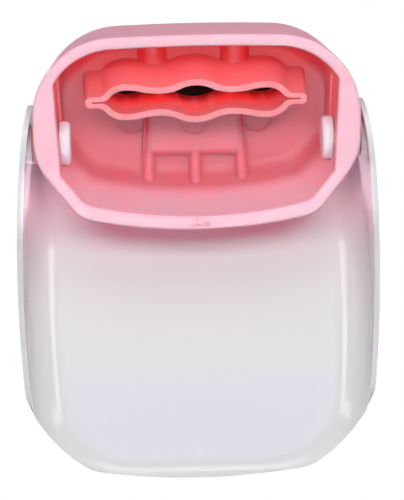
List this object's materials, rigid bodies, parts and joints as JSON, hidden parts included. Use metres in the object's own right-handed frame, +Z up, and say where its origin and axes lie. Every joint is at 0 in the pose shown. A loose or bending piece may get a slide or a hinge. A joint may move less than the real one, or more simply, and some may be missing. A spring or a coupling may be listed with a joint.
{
  "type": "faucet extender",
  "caption": "Soft hood with a wavy gripping sleeve that slips over a faucet spout, carrying a tilting translucent chute on two snap rivets.",
  "frame": {"origin": "middle of the gripping sleeve's opening, in the hood's back face", "axes": "+Z up as the hood sits on a level faucet, -Y out of the hood's mouth and +Y towards the faucet's body, +X to the right as seen from the mouth; the part is the same on both sides of the plane X = 0"},
  "size_m": [0.1, 0.0462, 0.1297],
  "materials": {
    "hood_rubber": "satin",
    "chute_plastic": "gloss",
    "rivet_plastic": "gloss"
  },
  "bodies": {
    "hood": {"hood": "hood_rubber"},
    "chute": {"chute": "chute_plastic", "pivot_rivet_right": "rivet_plastic", "pivot_rivet_left": "rivet_plastic"}
  },
  "joints": [
    {"name": "chute_tilt", "type": "hinge", "parent": "hood", "child": "chute", "pos_m": [0, -0.021, -0.013], "axis": [-1, 0, 0], "range_deg": [-20, 70]}
  ]
}
